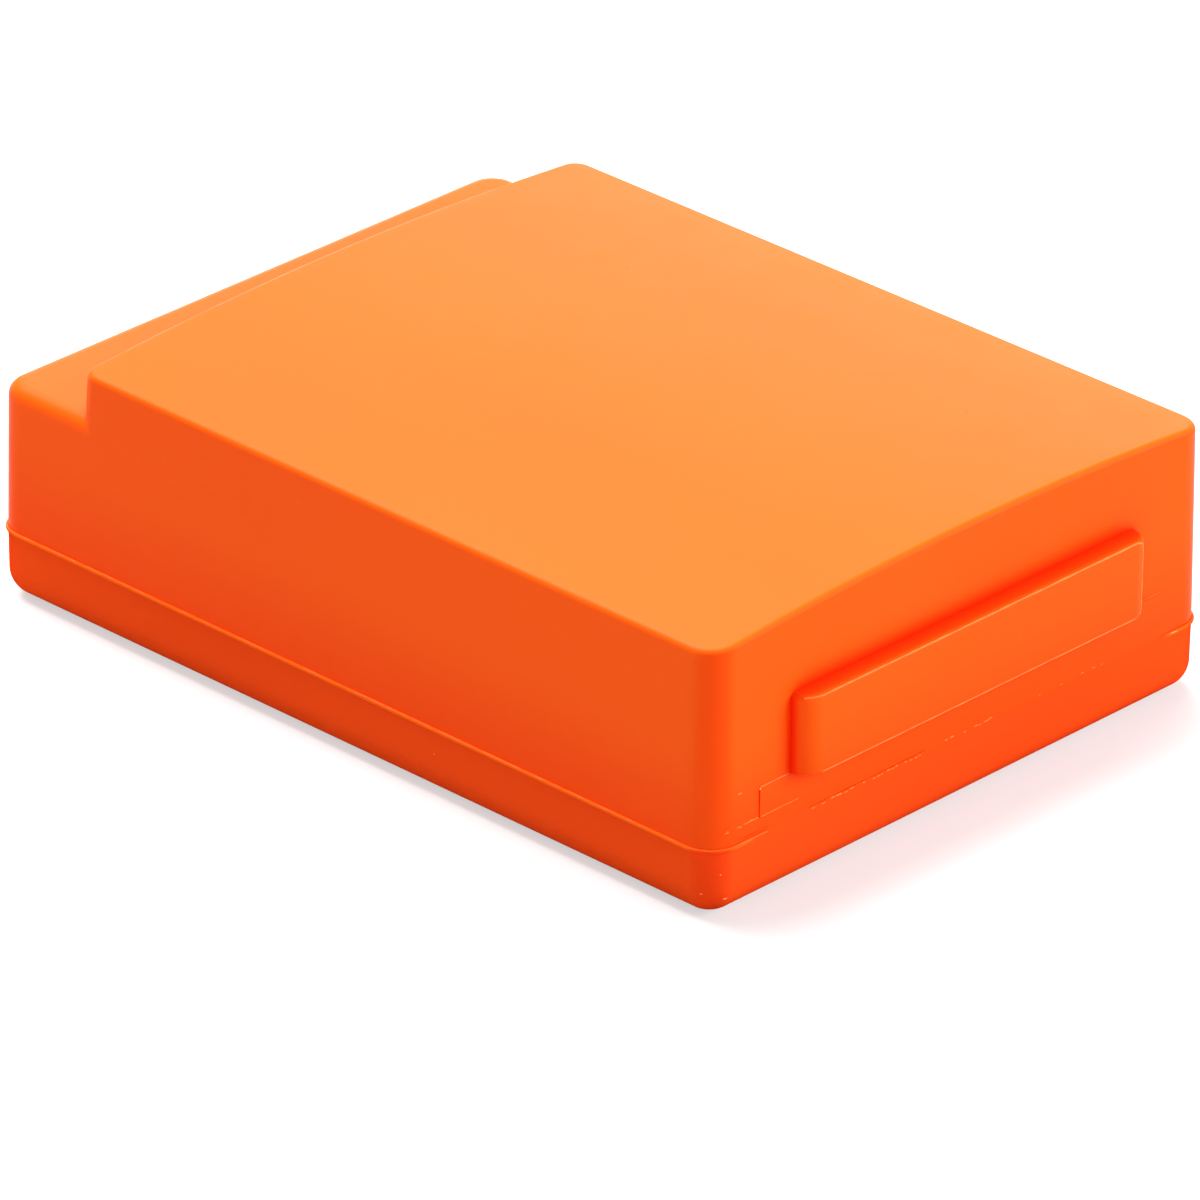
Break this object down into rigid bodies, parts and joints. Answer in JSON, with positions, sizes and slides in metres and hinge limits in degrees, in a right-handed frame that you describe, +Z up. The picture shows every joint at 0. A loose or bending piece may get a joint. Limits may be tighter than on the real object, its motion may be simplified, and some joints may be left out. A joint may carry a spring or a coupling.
{
  "type": "battery pack",
  "caption": "Orange rechargeable battery pack: a crowned plastic case with a low ledge at one end and a hook bar at the other, welded round a row of round cells.",
  "frame": {"origin": "centre of the flat underside of the lower case", "axes": "+X along the pack towards the hook bar, +Y across it, +Z up through the crowned top"},
  "size_m": [0.0789, 0.0558, 0.0235],
  "materials": {
    "case_plastic": "satin",
    "cell_sleeve": "gloss",
    "ring_paper": "matte",
    "nickel_strip": "satin",
    "fuse_body": "satin",
    "contact_metal": "satin"
  },
  "bodies": {
    "root": {"upper_case": "case_plastic", "lower_case": "case_plastic", "cell_1": "cell_sleeve", "cell_2": "cell_sleeve", "cell_3": "cell_sleeve", "cell_4": "cell_sleeve", "cell_5": "cell_sleeve", "insulator_ring_1": "ring_paper", "insulator_ring_2": "ring_paper", "insulator_ring_3": "ring_paper", "insulator_ring_4": "ring_paper", "insulator_ring_5": "ring_paper", "link_strip_1": "nickel_strip", "link_strip_2": "nickel_strip", "link_strip_3": "nickel_strip", "link_strip_4": "nickel_strip", "negative_lead": "nickel_strip", "positive_lead": "nickel_strip", "bus_strip": "nickel_strip", "resettable_fuse": "fuse_body", "negative_contact": "contact_metal", "positive_contact": "contact_metal"}
  },
  "joints": []
}
